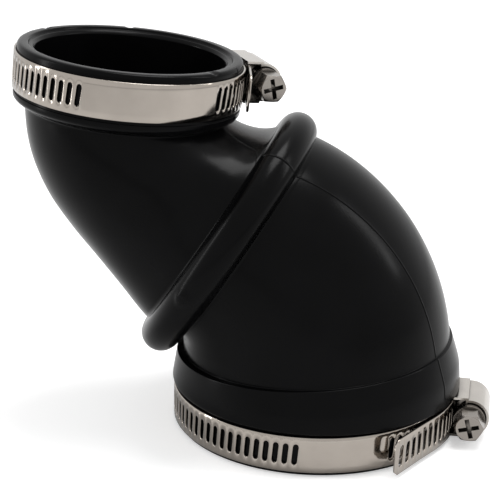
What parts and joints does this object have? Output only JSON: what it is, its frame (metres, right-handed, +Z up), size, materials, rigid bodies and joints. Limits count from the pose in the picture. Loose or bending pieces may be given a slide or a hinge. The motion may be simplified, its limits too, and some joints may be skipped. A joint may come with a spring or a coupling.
{
  "type": "flue elbow",
  "caption": "Moulded rubber offset elbow with an oblique bead, joining a larger lower mouth to a smaller upper mouth, each gripped by a worm-drive clamp.",
  "frame": {"origin": "centre of the lower mouth at its bottom face, where the part stands", "axes": "+Z up the lower mouth's axis, -X towards the upper mouth, XZ is the plane of symmetry of the body"},
  "size_m": [0.1333, 0.0802, 0.105],
  "materials": {
    "rubber": "moulded, glossy",
    "strip": "polished stainless strip",
    "pressing": "pressed stainless, bright",
    "screw": "cold-headed stainless screw"
  },
  "bodies": {
    "elbow": {"elbow_body": "rubber"},
    "lower_clamp": {"lower_saddle": "pressing", "lower_housing": "pressing"},
    "lower_strip": {"lower_band": "strip"},
    "lower_worm": {"lower_screw": "screw"},
    "upper_clamp": {"upper_saddle": "pressing", "upper_housing": "pressing"},
    "upper_strip": {"upper_band": "strip"},
    "upper_worm": {"upper_screw": "screw"}
  },
  "joints": [
    {"name": "lower_clamp_turn", "type": "hinge", "parent": "elbow", "child": "lower_clamp", "pos_m": [0, 0, 0.0061], "axis": [0, 0, 1], "continuous": true},
    {"name": "lower_screw_turn", "type": "hinge", "parent": "lower_clamp", "child": "lower_worm", "pos_m": [0.04446, -0.00155, 0.0061], "axis": [-0.0349, -0.9994, 0], "range_deg": [-720, 720]},
    {"name": "lower_band_feed", "type": "hinge", "parent": "lower_clamp", "child": "lower_strip", "pos_m": [0, 0, 0.0061], "axis": [0, 0, 1], "range_deg": [-8, 8]},
    {"name": "upper_clamp_turn", "type": "hinge", "parent": "elbow", "child": "upper_clamp", "pos_m": [-0.0521, 0, 0.0954], "axis": [0.0924, 0, 0.9957], "continuous": true},
    {"name": "upper_screw_turn", "type": "hinge", "parent": "upper_clamp", "child": "upper_worm", "pos_m": [-0.02072, 0.01819, 0.09249], "axis": [0.4979, -0.866, -0.0462], "range_deg": [-720, 720]},
    {"name": "upper_band_feed", "type": "hinge", "parent": "upper_clamp", "child": "upper_strip", "pos_m": [-0.0521, 0, 0.0954], "axis": [0.0924, 0, 0.9957], "range_deg": [-10, 10]}
  ],
  "couplings": [
    {"joint": "lower_band_feed", "follows": "lower_screw_turn", "ratio": 0.010765},
    {"joint": "upper_band_feed", "follows": "upper_screw_turn", "ratio": 0.01348}
  ]
}
